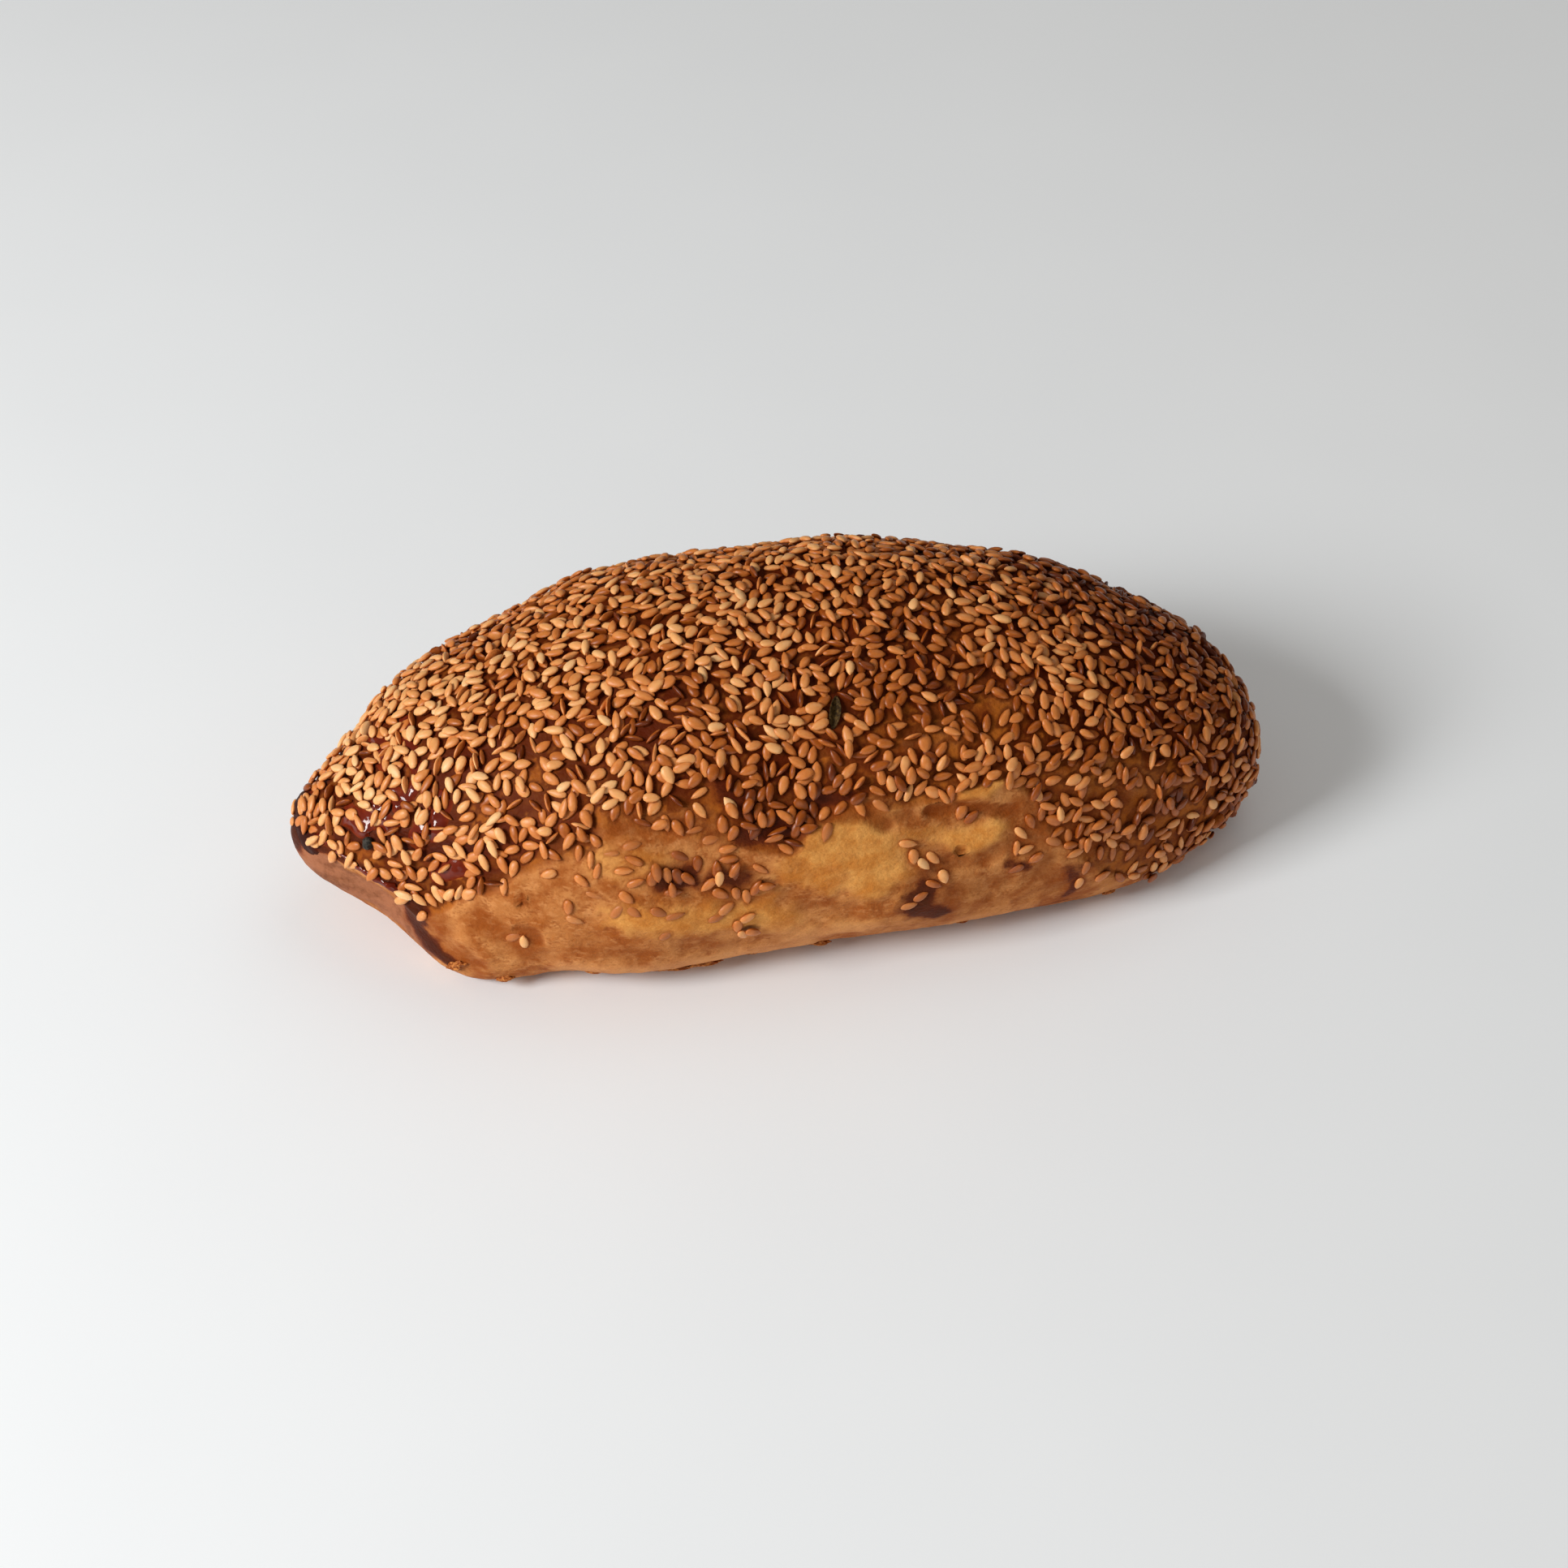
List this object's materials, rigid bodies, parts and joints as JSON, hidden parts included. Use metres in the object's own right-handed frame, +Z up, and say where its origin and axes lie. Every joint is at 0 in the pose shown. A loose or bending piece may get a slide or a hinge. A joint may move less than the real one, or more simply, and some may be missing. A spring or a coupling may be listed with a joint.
{
  "type": "pogaca",
  "caption": "Oblong baked pogaca bun with a raised pointed nose, a blunt heel, a flat base and a sesame-coated top.",
  "frame": {"origin": "under the middle of the bun's bounding box, on the surface that its flat base rests on", "axes": "+X along the bun from its pointed nose to its blunt heel, +Y towards its back, +Z up; the side with the bare crust faces -Y"},
  "size_m": [0.1474, 0.0636, 0.0461],
  "materials": {
    "crust": null,
    "sesame": null,
    "egg_wash": null,
    "nigella": null,
    "herb": null
  },
  "bodies": {
    "root": {"bun": "crust"}
  },
  "joints": []
}
